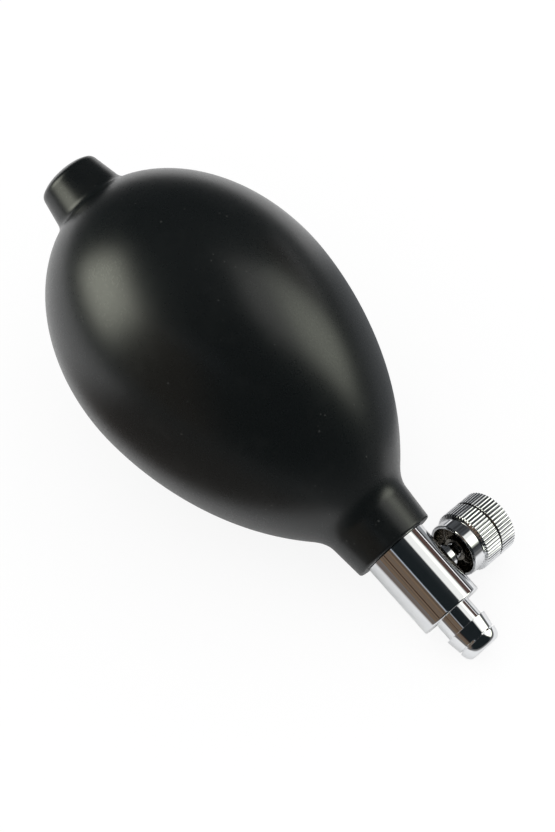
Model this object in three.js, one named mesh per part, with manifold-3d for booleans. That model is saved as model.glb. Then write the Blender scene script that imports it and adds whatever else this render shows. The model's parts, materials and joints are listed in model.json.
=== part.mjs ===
// Rubber squeeze bulb with a chromed air-release valve and a ridged hose nipple.
// Millimetres, +Z up. The bulb lies on its belly, with the nose of the valve and the rim of the
// release knob down on the same surface. Every piece is turned about the bulb's long axis, or about
// the release screw's axis, which crosses it at a right angle.
import * as THREE from "three";
import { mergeVertices } from "three/addons/utils/BufferGeometryUtils.js";
import Module from "manifold-3d";

const wasm = await Module();
wasm.setup();

// Fineness of round pieces
const turnSegments = 40;
const smallSegments = 24;

// Fits
const fitGap = 0.12; // radial gap between a pressed or screwed piece and its hole
const faceGap = 0.3; // gap between two faces that meet
const runGap = 0.1; // gap round a piece that moves

// Bulb: distances run along its axis from the end of the tail
const bulbRadius = 26; // egg, at its widest
const eggTailLength = 33.7; // widest section back to the pole of the egg
const eggNoseLength = 40.4; // widest section forward to the neck
const noseFullness = 4.2; // how far the widest section runs on before it curves in
const neckRun = 15.6; // how far the neck's straight slope reaches back
const neckSlope = 0.95; // radius lost for each millimetre there
const neckRise = 1.7; // radius where the slope ends, over the cuff's
const neckFillet = 3.6;
const cuffLength = 6.6;
const cuffWall = 2.73;
const cuffTaper = 0.5; // radius lost from the neck to the mouth
const lipRound = 0.45;
const wall = 2.5;
const tailLength = 8.1;
const tailWall = 1.68;
const tailFlare = 1.3; // radius gained from the tail's end to the egg
const tailDome = 1.5;
const tailFillet = 1.5; // between the tail and the egg

// Intake valve in the tail
const intakeHoleRadius = 2.6;
const intakeLip = 1.9; // rubber in front of the sleeve, at the hole's edge
const intakeBoreRadius = 3.2;
const intakeSleeveWall = 0.7;
const intakeSleeveLength = 11.4;
const intakeRidge = 0.3; // height of a gripping ridge
const intakeRidges = 3;
const intakePocketDepth = 2;
const intakeWeb = 1.3;
const intakePortRadius = 1.4;
const seatHeight = 0.25;
const seatWidth = 0.5;
const screenThickness = 0.35;
const screenRingThickness = 0.8;
const screenRingWidth = 0.8;
const intakeAirWay = 0.65; // between the disc's edge and the bore
const intakeDiscThickness = 0.8;
const intakeLift = 0.8;
const cageThickness = 1;
const cageHubRadius = 1;
const cageArmWidth = 1.1;
const cageArms = 3;

// Outlet check valve, in the spigot that the cuff grips
const checkBoreRadius = 3.7;
const spigotWall = 1.6;
const spigotLength = 13.4;
const spigotRidge = 0.45;
const spigotRidges = 3;
const backWall = 2; // solid metal inside the cuff's mouth, where the check valve's bore stops
const outletSeatInset = 0.6;
const outletSeatLength = 1.8;
const outletPortRadius = 1.3;
const outletAirWay = 1.2; // between the poppet's edge and the bore
const poppetThickness = 1;
const poppetStemRadius = 0.8;
const poppetStemLength = 3;
const padThickness = 0.5;
const padInset = 0.2;
const springWire = 0.4;
const springCoilRadius = 1.6; // to the middle of the wire
const springCoils = 5;
const springSteps = 11; // for each coil
const retainerLength = 1.4;
const retainerHoleRadius = 1.1;

// Valve body
const bodyRadius = 6.2;
const bodyChamfer = 0.35;
const bodyLand = 0.48; // metal between the screw's hole and the nipple's
const galleryRadius = 1.5;
const galleryWall = 0.45; // between the gallery and the release seat
const screwOffset = 6.95; // screw's axis from the back of the valve body

// Release screw: distances run outwards from the valve body's axis
const releasePortRadius = 0.8;
const releaseSeatThickness = 1;
const releaseTravel = 1;
const spindleRadius = 1.5;
const spindleSetback = 0.05; // plain end of the screw below its stop ring
const stopRingWidth = 0.5;
const stopRingThickness = 0.4;
const plugLength = 1.5;
const plugConeLength = 0.75;
const plugTipRadius = 0.3;
const swivelNeckRadius = 0.5;
const swivelHeadRadius = 0.85;
const swivelHead = 0.45;
const swivelMouth = 0.4; // thickness of the socket's lip
const bushWall = 0.65; // round the screw's chamber
const bushNeckWall = 0.9; // round the screw, where the bush stands out
const bushThread = 0.9; // least length of thread
const bushStandout = 1; // least height over the valve body
const bushShoulderDepth = 0.9; // skirt's end below the valve body's skin
const bushEdge = 0.2;

// Release knob
const knobClearance = 2.3; // between the valve body and the knob
const knobRadius = 6;
const knobCollarStep = 0.7;
const knobCollarLength = 2.7;
const knobEdge = 0.25;
const knobBandLength = 3.75;
const knobGroove = 0.35;
const knobGrooveDepth = 0.35;
const knobTopChamfer = 0.5;
const knurlRidges = 50;
const knurlDepth = 0.28;
const knobRimWall = 0.6;
const knobRecessDepth = 2.9;
const knobHubWall = 0.68;
const knobHubInset = 0.4; // hub's end above the collar's rim
const spindleInKnob = 4.5;

// Hose nipple
const nippleBoreRadius = 1.3;
const nippleThreadRadius = 2.9;
const nippleThreadLength = 3.8;
const nippleNeckRadius = 3.7;
const nippleNeckLength = 3.62; // out of the valve body
const nippleRecess = 0.6; // how far the neck sits in the valve body
const nippleRidgeRadius = 4.3;
const nippleRidgeEnd = 3.85;
const nippleRidgeLength = 2.85;
const nippleGroove = 0.25;
const nippleGrooveDepth = 0.2; // below the neck's radius
const nippleNoseRadius = 3.95;
const nippleTipRadius = 2.9;
const nippleNoseLength = 2.05;
const sealThickness = 0.6;

// Radii that follow from what sits in what
const intakeSleeveRadius = intakeBoreRadius + intakeSleeveWall;
const tailBoreRadius = intakeSleeveRadius + intakeRidge + fitGap;
const tailEndRadius = tailBoreRadius + tailWall;
const tailBaseRadius = tailEndRadius + tailFlare;
const spigotRadius = checkBoreRadius + spigotWall;
const cuffBoreRadius = spigotRadius + spigotRidge + fitGap;
const cuffRadius = cuffBoreRadius + cuffWall;
const cuffLipRadius = cuffRadius - cuffTaper;
const neckRadius = cuffRadius + neckRise;
const poppetRadius = checkBoreRadius - outletAirWay;
const spindleBoreRadius = spindleRadius + runGap;
const stopRingRadius = spindleBoreRadius + stopRingWidth;
const plugRadius = spindleRadius - runGap;
const chamberRadius = stopRingRadius + runGap;
const bushSkirtRadius = chamberRadius + bushWall;
const bushRadius = spindleBoreRadius + bushNeckWall;
const bushHoleRadius = bushSkirtRadius + fitGap;
const nippleHoleRadius = nippleThreadRadius + fitGap;
const nippleRecessRadius = nippleNeckRadius + fitGap;

// Places along the bulb's axis
const tailSlope = Math.sqrt(1 - (tailBaseRadius / bulbRadius) ** 2);
const widestX = tailLength + eggTailLength * tailSlope;
const neckX = widestX + eggNoseLength;
const cuffX = neckX + neckFillet;
const mouthX = cuffX + cuffLength;
const bodyX = mouthX + faceGap;
const screwX = bodyX + screwOffset;
const nippleHoleX = screwX + bushHoleRadius + bodyLand;
const frontX = nippleHoleX + runGap + sealThickness + 2 * runGap + nippleThreadLength;
const spigotX = bodyX - spigotLength;
const checkEndX = bodyX - backWall;

// ---- shapes ---------------------------------------------------------------

// A solid turned about +Y from [distance along, radius] points, which close on the axis or on themselves.
function turned(profile, segments = turnSegments) {
  const points = profile.map(([along, radius]) => new THREE.Vector2(radius, along));
  const onAxis = points[0].x === 0;
  if (!onAxis) points.push(points[0].clone());
  return new THREE.LatheGeometry(points, segments);
}

// The same, turned about +X.
function turnedAlongX(profile, segments = turnSegments) {
  return turned(profile, segments).rotateZ(-Math.PI / 2);
}

// Points of a curve as [distance along, radius], without its first one.
function curvePoints(curve, steps) {
  return curve.getPoints(steps).slice(1).map((p) => [p.x, p.y]);
}

// A plain ring: outer and inner radius between two distances.
function ringProfile(start, end, inner, outer) {
  return [[start, inner], [start, outer], [end, outer], [end, inner]];
}

// A wall with gripping ridges, from the end that goes in first: each rises gently and drops square.
function ridgedWall(first, last, radius, height, count) {
  const pitch = (last - first) / count;
  const wallPoints = [];
  for (let i = 0; i < count; i++) {
    const x = first + pitch * i;
    const crest = x + pitch * 0.7;
    wallPoints.push([x, radius], [crest, radius + height], [crest, radius]);
  }
  return wallPoints;
}

// ---- solids for cutting and joining ----------------------------------------

function toSolid(geometry) {
  const bare = geometry.clone();
  bare.deleteAttribute("normal");
  bare.deleteAttribute("uv");
  const merged = mergeVertices(bare, 1e-4);
  const vertProperties = new Float32Array(merged.attributes.position.array);
  const triVerts = new Uint32Array(merged.index.array);
  return new wasm.Manifold(new wasm.Mesh({ numProp: 3, vertProperties, triVerts }));
}

function toGeometry(solid) {
  const mesh = solid.getMesh();
  const geometry = new THREE.BufferGeometry();
  geometry.setAttribute("position", new THREE.BufferAttribute(new Float32Array(mesh.vertProperties), 3));
  geometry.setIndex(new THREE.BufferAttribute(new Uint32Array(mesh.triVerts), 1));
  geometry.computeVertexNormals();
  return geometry;
}

// A round bar about +Y between two distances.
function bar(start, end, radius, segments = smallSegments) {
  return turned([[start, 0], [start, radius], [end, radius], [end, 0]], segments);
}

// ---- materials --------------------------------------------------------------

function material(color, roughness, metalness) {
  return new THREE.MeshStandardMaterial({ color, roughness, metalness });
}

const blackRubber = () => material(0x141413, 0.5, 0);
const sealRubber = () => material(0x2b2a28, 0.7, 0);
const chrome = () => material(0xd6dade, 0.1, 1);
const brass = () => material(0xb8985a, 0.35, 1);
const steel = () => material(0xa9adb0, 0.3, 1);

function mesh(name, geometry, finish) {
  const piece = new THREE.Mesh(geometry, finish);
  piece.name = name;
  return piece;
}

// ---- bulb -------------------------------------------------------------------

// Points of a curve, each moved square to it towards the axis.
function insetPoints(curve, steps, depth) {
  const points = [];
  for (let i = 0; i <= steps; i++) {
    const point = curve.getPoint(i / steps);
    const along = curve.getTangent(i / steps);
    points.push([point.x + along.y * depth, point.y - along.x * depth]);
  }
  return points;
}

// The egg from its tail pole to its neck, or a skin at a depth inside it.
function eggOutline(depth, tailSteps, noseSteps) {
  const tail = new THREE.EllipseCurve(widestX, 0, eggTailLength, bulbRadius, Math.PI, Math.PI / 2, true);
  const nose = new THREE.CubicBezierCurve(
    new THREE.Vector2(widestX, bulbRadius),
    new THREE.Vector2(widestX + noseFullness, bulbRadius),
    new THREE.Vector2(neckX - neckRun, neckRadius + neckSlope * neckRun),
    new THREE.Vector2(neckX, neckRadius),
  );
  return [...insetPoints(tail, tailSteps, depth).slice(0, -1), ...insetPoints(nose, noseSteps, depth)];
}

function bulbOutside() {
  const foot = tailFoot();
  const fillet = new THREE.QuadraticBezierCurve(
    new THREE.Vector2(neckX, neckRadius),
    new THREE.Vector2(neckX + (neckRadius - cuffRadius) / neckSlope, cuffRadius + 0.1),
    new THREE.Vector2(cuffX, cuffRadius),
  );
  const lip = new THREE.EllipseCurve(
    mouthX - lipRound, cuffLipRadius - lipRound, lipRound, lipRound, Math.PI / 2, 0, true,
  );
  return [
    ...tailEnd(),
    [foot.v0.x, foot.v0.y],
    ...curvePoints(foot, 4),
    ...eggOutline(0, 11, 10).filter(([x]) => x > foot.v2.x + 0.2),
    ...curvePoints(fillet, 3),
    [mouthX - lipRound, cuffLipRadius],
    ...curvePoints(lip, 3),
  ];
}

// The hollow curve between the tail's straight side and the egg.
function tailFoot() {
  const share = tailFillet / (tailLength - tailDome);
  const end = tailLength + tailFillet * 0.4;
  const fromWidest = (widestX - end) / eggTailLength;
  return new THREE.QuadraticBezierCurve(
    new THREE.Vector2(tailLength - tailFillet, tailBaseRadius - tailFlare * share),
    new THREE.Vector2(tailLength, tailBaseRadius),
    new THREE.Vector2(end, bulbRadius * Math.sqrt(1 - fromWidest ** 2)),
  );
}

// The domed end of the tail, from the edge of the intake hole outwards.
function tailEnd() {
  const start = Math.asin(intakeHoleRadius / tailEndRadius);
  const points = [];
  for (let i = 0; i <= 4; i++) {
    const angle = start + ((Math.PI / 2 - start) * i) / 4;
    points.push([tailDome * (1 - Math.cos(angle)), tailEndRadius * Math.sin(angle)]);
  }
  return points;
}

function bulbInside() {
  const cavity = eggOutline(wall, 7, 6).filter(([x, radius]) =>
    radius > (x < widestX ? tailBoreRadius : cuffBoreRadius) + 0.4);
  const first = cavity[0];
  const last = cavity[cavity.length - 1];
  return [
    [intakeLip, intakeHoleRadius],
    [intakeLip, tailBoreRadius],
    [first[0] - 0.3, tailBoreRadius],
    ...cavity,
    [last[0] + (last[1] - cuffBoreRadius) / neckSlope, cuffBoreRadius],
    [mouthX, cuffBoreRadius],
  ].reverse();
}

function rubberBulb() {
  return mesh("rubber_bulb", turnedAlongX([...bulbOutside(), ...bulbInside()]), blackRubber());
}

// ---- intake valve -------------------------------------------------------------

const sleeveX = intakeLip + faceGap;
const sleeveEndX = sleeveX + intakeSleeveLength;
const webX = sleeveX + intakePocketDepth;
const intakeSeatX = webX + intakeWeb + seatHeight;
const intakeDiscX = intakeSeatX + runGap;
const cageX = intakeDiscX + intakeDiscThickness + intakeLift + runGap;

function intakeSleeve() {
  const seatOuter = intakePortRadius + seatWidth;
  return mesh("intake_sleeve", turnedAlongX([
    [sleeveX, intakeSleeveRadius],
    ...ridgedWall(sleeveEndX, sleeveX + 1, intakeSleeveRadius, intakeRidge, intakeRidges).reverse(),
    [sleeveEndX, intakeBoreRadius],
    [webX + intakeWeb, intakeBoreRadius],
    [webX + intakeWeb, seatOuter],
    [intakeSeatX, seatOuter],
    [intakeSeatX, intakePortRadius],
    [webX, intakePortRadius],
    [webX, intakeBoreRadius],
    [sleeveX, intakeBoreRadius],
  ], smallSegments), brass());
}

function dustScreen() {
  const end = webX - faceGap;
  const radius = intakeBoreRadius - fitGap;
  const profile = [[end - screenThickness, 0], [end - screenThickness, radius], [end, radius], [end, 0]];
  return mesh("dust_screen", turnedAlongX(profile, smallSegments), steel());
}

function intakeScreenRing() {
  const end = webX - faceGap - screenThickness - runGap;
  const outer = intakeBoreRadius - fitGap;
  const profile = ringProfile(end - screenRingThickness, end, outer - screenRingWidth, outer);
  return mesh("intake_screen_ring", turnedAlongX(profile, smallSegments), chrome());
}

function intakeDisc() {
  const end = intakeDiscX + intakeDiscThickness;
  const radius = intakeBoreRadius - intakeAirWay;
  const profile = [[intakeDiscX, 0], [intakeDiscX, radius], [end, radius], [end, 0]];
  return mesh("intake_disc", turnedAlongX(profile, smallSegments), sealRubber());
}

// A hub with arms that reach the sleeve's wall, so air passes between them.
function intakeCage() {
  const reach = intakeBoreRadius - fitGap;
  const half = cageArmWidth / 2;
  const armAngle = Math.asin(half / reach);
  const rootAngle = Math.asin(half / cageHubRadius);
  const outline = [];
  for (let i = 0; i < cageArms; i++) {
    const turn = (2 * Math.PI * i) / cageArms;
    for (const [angle, radius] of [
      [turn - rootAngle, cageHubRadius], [turn - armAngle, reach],
      [turn + armAngle, reach], [turn + rootAngle, cageHubRadius],
    ]) outline.push(new THREE.Vector2(radius * Math.cos(angle), radius * Math.sin(angle)));
  }
  const extent = { depth: cageThickness, bevelEnabled: false };
  const plate = new THREE.ExtrudeGeometry(new THREE.Shape(outline), extent);
  return mesh("intake_cage", plate.rotateY(Math.PI / 2).translate(cageX, 0, 0), brass());
}

// ---- valve body -----------------------------------------------------------------

function valveBody() {
  const turnedBody = turnedAlongX([
    ...ridgedWall(spigotX, bodyX - 1.5, spigotRadius, spigotRidge, spigotRidges),
    [bodyX, spigotRadius],
    [bodyX, bodyRadius],
    [frontX - bodyChamfer, bodyRadius],
    [frontX, bodyRadius - bodyChamfer],
    [frontX, nippleRecessRadius],
    [frontX - nippleRecess, nippleRecessRadius],
    [frontX - nippleRecess, nippleHoleRadius],
    [nippleHoleX, nippleHoleRadius],
    [nippleHoleX, galleryRadius],
    [checkEndX, galleryRadius],
    [checkEndX, checkBoreRadius],
    [spigotX, checkBoreRadius],
  ]);
  const bushHole = bar(boreFloor, bodyRadius + 1, bushHoleRadius).translate(screwX, 0, 0);
  const port = bar(0, boreFloor + galleryWall, releasePortRadius).translate(screwX, 0, 0);
  const solid = toSolid(turnedBody).subtract(toSolid(bushHole)).subtract(toSolid(port));
  return mesh("valve_body", toGeometry(solid), chrome());
}

// ---- outlet check valve -----------------------------------------------------------

const outletSeatX = spigotX + outletSeatInset;
const padX = outletSeatX + outletSeatLength + runGap;
const poppetX = padX + padThickness + runGap;
const retainerX = checkEndX - faceGap - retainerLength;

function outletSeat() {
  const profile = ringProfile(
    outletSeatX, outletSeatX + outletSeatLength, outletPortRadius, checkBoreRadius - fitGap,
  );
  return mesh("outlet_seat", turnedAlongX(profile, smallSegments), brass());
}

function outletPad() {
  const radius = poppetRadius - padInset;
  const end = padX + padThickness;
  const profile = [[padX, 0], [padX, radius], [end, radius], [end, 0]];
  return mesh("outlet_pad", turnedAlongX(profile, smallSegments), sealRubber());
}

function outletPoppet() {
  const shoulder = poppetX + poppetThickness;
  return mesh("outlet_poppet", turnedAlongX([
    [poppetX, 0],
    [poppetX, poppetRadius],
    [shoulder, poppetRadius],
    [shoulder, poppetStemRadius],
    [shoulder + poppetStemLength, poppetStemRadius],
    [shoulder + poppetStemLength, 0],
  ], smallSegments), brass());
}

class Helix extends THREE.Curve {
  constructor(start, end, radius, coils) {
    super();
    Object.assign(this, { start, end, radius, coils });
  }
  getPoint(t, target = new THREE.Vector3()) {
    const angle = 2 * Math.PI * this.coils * t;
    const x = THREE.MathUtils.lerp(this.start, this.end, t);
    return target.set(x, this.radius * Math.cos(angle), this.radius * Math.sin(angle));
  }
}

function outletSpring() {
  const wireRadius = springWire / 2;
  const start = poppetX + poppetThickness + wireRadius + runGap;
  const end = retainerX - wireRadius - runGap;
  const section = new THREE.Shape();
  const sides = 6;
  for (let i = 0; i < sides; i++) {
    const angle = (2 * Math.PI * i) / sides;
    const corner = [wireRadius * Math.cos(angle), wireRadius * Math.sin(angle)];
    if (i === 0) section.moveTo(...corner);
    else section.lineTo(...corner);
  }
  const extrudePath = new Helix(start, end, springCoilRadius, springCoils);
  const steps = springCoils * springSteps;
  return mesh("outlet_spring", new THREE.ExtrudeGeometry(section, { steps, extrudePath }), steel());
}

function springRetainer() {
  const profile = ringProfile(
    retainerX, retainerX + retainerLength, retainerHoleRadius, checkBoreRadius - fitGap,
  );
  return mesh("spring_retainer", turnedAlongX(profile, smallSegments), brass());
}

// ---- release screw ------------------------------------------------------------------

const boreFloor = galleryRadius + galleryWall;
const seatTop = boreFloor + runGap + releaseSeatThickness;
const plugShoulder = seatTop + runGap;
const plugTop = plugShoulder + plugLength;
const spindleStart = plugTop + runGap;
const stopRingTop = spindleStart + spindleSetback + stopRingThickness;
const chamberTop = stopRingTop + releaseTravel + runGap;
const bushHeight = Math.max(chamberTop + bushThread, bodyRadius + bushStandout);
const knobUnderside = Math.max(bodyRadius + knobClearance, bushHeight + 2 * faceGap);
const hubEnd = knobUnderside + knobHubInset;
const knobTop = knobUnderside + knobCollarLength + 2 * knobBandLength + knobGroove;

function releaseSeat() {
  const profile = ringProfile(boreFloor + runGap, seatTop, releasePortRadius, bushSkirtRadius);
  return mesh("release_seat", turned(profile, smallSegments), brass());
}

// The cone closes the port. The screw's button turns in the plug's socket, so the plug doesn't turn.
function needlePlug() {
  const coneRoot = releasePortRadius - runGap;
  const mouth = plugTop - swivelMouth;
  const socketFloor = mouth - swivelHead - 2 * runGap;
  return mesh("needle_plug", turned([
    [plugShoulder - plugConeLength, 0],
    [plugShoulder - plugConeLength, plugTipRadius],
    [plugShoulder, coneRoot],
    [plugShoulder, plugRadius],
    [plugTop, plugRadius],
    [plugTop, swivelNeckRadius + runGap],
    [mouth, swivelNeckRadius + runGap],
    [mouth, swivelHeadRadius + runGap],
    [socketFloor, swivelHeadRadius + runGap],
    [socketFloor, 0],
  ], smallSegments), brass());
}

function glandBush() {
  const start = seatTop + runGap;
  const shoulder = bodyRadius - bushShoulderDepth;
  return mesh("gland_bush", turned([
    [start, chamberRadius],
    [start, bushSkirtRadius],
    [shoulder, bushSkirtRadius],
    [shoulder + bushEdge, bushRadius],
    [bushHeight - bushEdge, bushRadius],
    [bushHeight, bushRadius - bushEdge],
    [bushHeight, spindleBoreRadius],
    [chamberTop, spindleBoreRadius],
    [chamberTop, chamberRadius],
  ], smallSegments), chrome());
}

function releaseSpindle() {
  const end = hubEnd + spindleInKnob;
  const headTop = plugTop - swivelMouth - runGap;
  return mesh("release_spindle", turned([
    [headTop - swivelHead, 0],
    [headTop - swivelHead, swivelHeadRadius],
    [headTop, swivelHeadRadius],
    [headTop, swivelNeckRadius],
    [spindleStart, swivelNeckRadius],
    [spindleStart, spindleRadius],
    [end, spindleRadius],
    [end, 0],
  ], smallSegments), chrome());
}

// Keeps the screw from coming right out: it meets the bush at the end of the travel.
function stopRing() {
  const profile = ringProfile(
    stopRingTop - stopRingThickness, stopRingTop, spindleBoreRadius, stopRingRadius,
  );
  return mesh("stop_ring", turned(profile, smallSegments), steel());
}

// A knurled band: a toothed outline raised between two distances.
function knurledBand(start, end) {
  const outline = [];
  for (let i = 0; i < 2 * knurlRidges; i++) {
    const angle = (Math.PI * i) / knurlRidges;
    const radius = i % 2 ? knobRadius - knurlDepth : knobRadius;
    outline.push(new THREE.Vector2(radius * Math.cos(angle), radius * Math.sin(angle)));
  }
  const holeRadius = knobRadius - knurlDepth - 2 * knobGrooveDepth;
  const shape = new THREE.Shape(outline);
  shape.holes.push(new THREE.Path().absarc(0, 0, holeRadius, 0, 2 * Math.PI, true));
  const extent = { depth: end - start, bevelEnabled: false, curveSegments: 12 };
  const band = new THREE.ExtrudeGeometry(shape, extent);
  return toSolid(band.rotateX(-Math.PI / 2).translate(0, start, 0));
}

function releaseKnob() {
  const collarRadius = knobRadius - knobCollarStep;
  const recessRadius = collarRadius - knobRimWall;
  const recessFloor = knobUnderside + knobRecessDepth;
  const collarEnd = knobUnderside + knobCollarLength;
  const grooveStart = collarEnd + knobBandLength;
  const grooveEnd = grooveStart + knobGroove;
  const coreRadius = knobRadius - knobGrooveDepth - knurlDepth;
  const socket = spindleRadius + fitGap;
  const socketFloor = hubEnd + spindleInKnob + faceGap;
  const core = turned([
    [knobUnderside, recessRadius],
    [knobUnderside, collarRadius - knobEdge],
    [knobUnderside + knobEdge, collarRadius],
    [collarEnd + knobEdge, collarRadius],
    [collarEnd + knobEdge, coreRadius],
    [knobTop, coreRadius],
    [knobTop, 0],
    [socketFloor, 0],
    [socketFloor, socket],
    [hubEnd, socket],
    [hubEnd, socket + knobHubWall],
    [recessFloor, socket + knobHubWall],
    [recessFloor, recessRadius],
  ]);
  const lowBand = knurledBand(collarEnd, grooveStart);
  const highBand = knurledBand(grooveEnd, knobTop);
  const chamferedBlank = toSolid(turned([
    [knobUnderside, 0],
    [knobUnderside, knobRadius + faceGap],
    [knobTop - knobTopChamfer - faceGap, knobRadius + faceGap],
    [knobTop, knobRadius - knobTopChamfer],
    [knobTop, 0],
  ]));
  const bands = lowBand.add(highBand).intersect(chamferedBlank);
  return mesh("release_knob", toGeometry(toSolid(core).add(bands)), chrome());
}

// ---- hose nipple -----------------------------------------------------------------------

const threadEndX = frontX - nippleThreadLength;
const nippleShoulderX = frontX - nippleRecess + runGap;
const ridgeX = frontX + nippleNeckLength;
const noseX = ridgeX + nippleRidgeLength + nippleGroove;
const tipX = noseX + nippleNoseLength;

// The nipple outside its thread: a hose is pushed over what stands out of the valve body.
function nippleOutside() {
  const grooveRadius = nippleNeckRadius - nippleGrooveDepth;
  const nose = new THREE.QuadraticBezierCurve(
    new THREE.Vector2(noseX, nippleNoseRadius),
    new THREE.Vector2(tipX - 0.35, nippleNoseRadius - 0.25),
    new THREE.Vector2(tipX, nippleTipRadius),
  );
  return [
    [nippleShoulderX, nippleNeckRadius],
    [ridgeX, nippleNeckRadius],
    [ridgeX, nippleRidgeRadius],
    [noseX - nippleGroove, nippleRidgeEnd],
    [noseX - nippleGroove, grooveRadius],
    [noseX, grooveRadius],
    [noseX, nippleNoseRadius],
    ...curvePoints(nose, 3),
  ];
}

function hoseNipple() {
  return mesh("hose_nipple", turnedAlongX([
    [threadEndX, nippleBoreRadius],
    [threadEndX, nippleThreadRadius],
    [nippleShoulderX, nippleThreadRadius],
    ...nippleOutside(),
    [tipX, nippleBoreRadius],
  ]), chrome());
}

function nippleSeal() {
  const start = nippleHoleX + runGap;
  const profile = ringProfile(start, start + sealThickness, galleryRadius, nippleThreadRadius);
  return mesh("nipple_seal", turnedAlongX(profile, smallSegments), sealRubber());
}

// ---- assembly -----------------------------------------------------------------------------

function airLine() {
  const line = new THREE.Group();
  line.add(
    rubberBulb(), intakeSleeve(), intakeScreenRing(), dustScreen(), intakeDisc(), intakeCage(),
    valveBody(), outletSeat(), outletPad(), outletPoppet(), outletSpring(), springRetainer(),
    hoseNipple(), nippleSeal(),
  );
  return line;
}

function releaseScrew() {
  const screw = new THREE.Group();
  screw.position.x = screwX;
  screw.add(releaseSeat(), needlePlug(), glandBush(), releaseSpindle(), stopRing(), releaseKnob());
  return screw;
}

// ---- rest on a flat surface ----------------------------------------------------------------

// How far a turned outline reaches below the axis' origin when its nose points down by tilt.
function reachBelow(outline, tilt) {
  return Math.max(...outline.map(([x, r]) => x * Math.sin(tilt) + r * Math.cos(tilt)));
}

function noseReach(tilt) {
  return reachBelow([
    [frontX - bodyChamfer, bodyRadius], [frontX, bodyRadius - bodyChamfer], ...nippleOutside(),
  ], tilt);
}

// The knob's reach when the whole is also rolled, so that its screw points down by roll.
function knobReach(tilt, roll) {
  const drop = Math.sin(roll) * Math.cos(tilt);
  const rimDrop = Math.sqrt(1 - drop ** 2);
  const rims = [
    [knobUnderside, knobRadius - knobCollarStep],
    [knobUnderside + knobCollarLength, knobRadius],
    [knobTop - knobTopChamfer, knobRadius],
    [knobTop, knobRadius - knobTopChamfer],
  ];
  return screwX * Math.sin(tilt) + Math.max(...rims.map(([out, r]) => out * drop + r * rimDrop));
}

// The angle between 0 and limit where a rising difference crosses zero.
function settle(difference, limit) {
  let low = 0;
  let high = limit;
  for (let i = 0; i < 50; i++) {
    const middle = (low + high) / 2;
    if (difference(middle) < 0) low = middle;
    else high = middle;
  }
  return (low + high) / 2;
}

const bulbSkin = bulbOutside();
const tilt = settle((a) => noseReach(a) - reachBelow(bulbSkin, a), Math.PI / 3);
const roll = settle((a) => knobReach(tilt, a) - reachBelow(bulbSkin, tilt), Math.PI / 3);

const rolled = new THREE.Group();
rolled.rotation.x = -roll;
rolled.add(airLine(), releaseScrew());

const tilted = new THREE.Group();
tilted.rotation.y = tilt;
tilted.add(rolled);

const squeezeBulb = new THREE.Group();
squeezeBulb.add(tilted);
squeezeBulb.updateMatrixWorld(true);
const box = new THREE.Box3().setFromObject(squeezeBulb, true);
tilted.position.set(-(box.min.x + box.max.x) / 2, -(box.min.y + box.max.y) / 2, -box.min.z);

export default squeezeBulb;
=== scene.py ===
import json
import math

import bmesh
import bpy
from mathutils import Matrix, Vector
from mathutils.geometry import interpolate_bezier


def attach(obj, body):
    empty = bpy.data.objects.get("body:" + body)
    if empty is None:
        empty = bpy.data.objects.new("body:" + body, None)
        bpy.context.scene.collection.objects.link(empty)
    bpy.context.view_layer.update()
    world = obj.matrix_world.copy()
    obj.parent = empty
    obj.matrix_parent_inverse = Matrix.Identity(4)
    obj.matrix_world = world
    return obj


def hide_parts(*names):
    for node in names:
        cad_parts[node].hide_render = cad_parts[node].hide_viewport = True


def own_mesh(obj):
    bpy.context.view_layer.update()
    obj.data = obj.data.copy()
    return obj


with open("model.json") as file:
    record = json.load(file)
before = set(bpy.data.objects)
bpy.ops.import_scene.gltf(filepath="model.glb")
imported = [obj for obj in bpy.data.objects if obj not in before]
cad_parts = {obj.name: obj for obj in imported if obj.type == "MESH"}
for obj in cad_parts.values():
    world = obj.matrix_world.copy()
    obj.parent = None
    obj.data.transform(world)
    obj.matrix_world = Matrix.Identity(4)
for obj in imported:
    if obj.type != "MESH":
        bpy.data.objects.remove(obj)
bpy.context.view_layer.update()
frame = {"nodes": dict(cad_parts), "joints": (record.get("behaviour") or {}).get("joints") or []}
mm = 0.001

# Two axes carry every turned piece: the bulb's long one and the release screw's.
joints = {joint["name"]: joint for joint in frame["joints"]}
lineDir = Vector(joints["outlet_lift"]["axis"]).normalized()  # from the tail towards the hose
screwDir = Vector(joints["knob_turn"]["axis"]).normalized()  # from the valve out to the knob
crossing = Vector(joints["knob_turn"]["pos_m"])


def reach(node, direction):  # farthest point of a CAD node from the crossing, in mm
    return max((v.co - crossing).dot(direction) for v in frame["nodes"][node].data.vertices) / mm


def placeAlong(origin, along, side):  # from mm along and across an axis to metres in the frame
    turn = Matrix((along, side, along.cross(side))).transposed().to_4x4()
    return Matrix.Translation(origin) @ turn @ Matrix.Scale(mm, 4)


print("frame loaded")

# Turned shapes

sharpAngle = 32  # degrees between faces, past which an edge shades sharp


def bezier(steps, *handles):  # points of one curved stretch: start, two handles, end
    points = interpolate_bezier(*[Vector((along, radius, 0)) for along, radius in handles], steps)
    return [(p.x, p.y) for p in points]


def eased(steps, start, corner, end):  # a corner rounded from start to end
    def towards(point):
        return tuple(p + (c - p) * 2 / 3 for p, c in zip(point, corner))
    return bezier(steps, start, towards(start), towards(end), end)


def supported(outline):  # points beside each rounded corner, so that the flat stretches shade flat
    def beside(corner, other):
        gap = math.dist(corner[:2], other[:2])
        if gap <= 3 * corner[2]:  # the next point is near enough
            return []
        return [tuple(c + (o - c) * 1.3 * corner[2] / gap for c, o in zip(corner[:2], other[:2]))]

    points = []
    for before, point, after in zip(outline[-1:] + outline, outline, outline[1:] + outline[:1]):
        points += [*beside(point, before), point, *beside(point, after)] if len(point) > 2 else [point]
    return points


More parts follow.
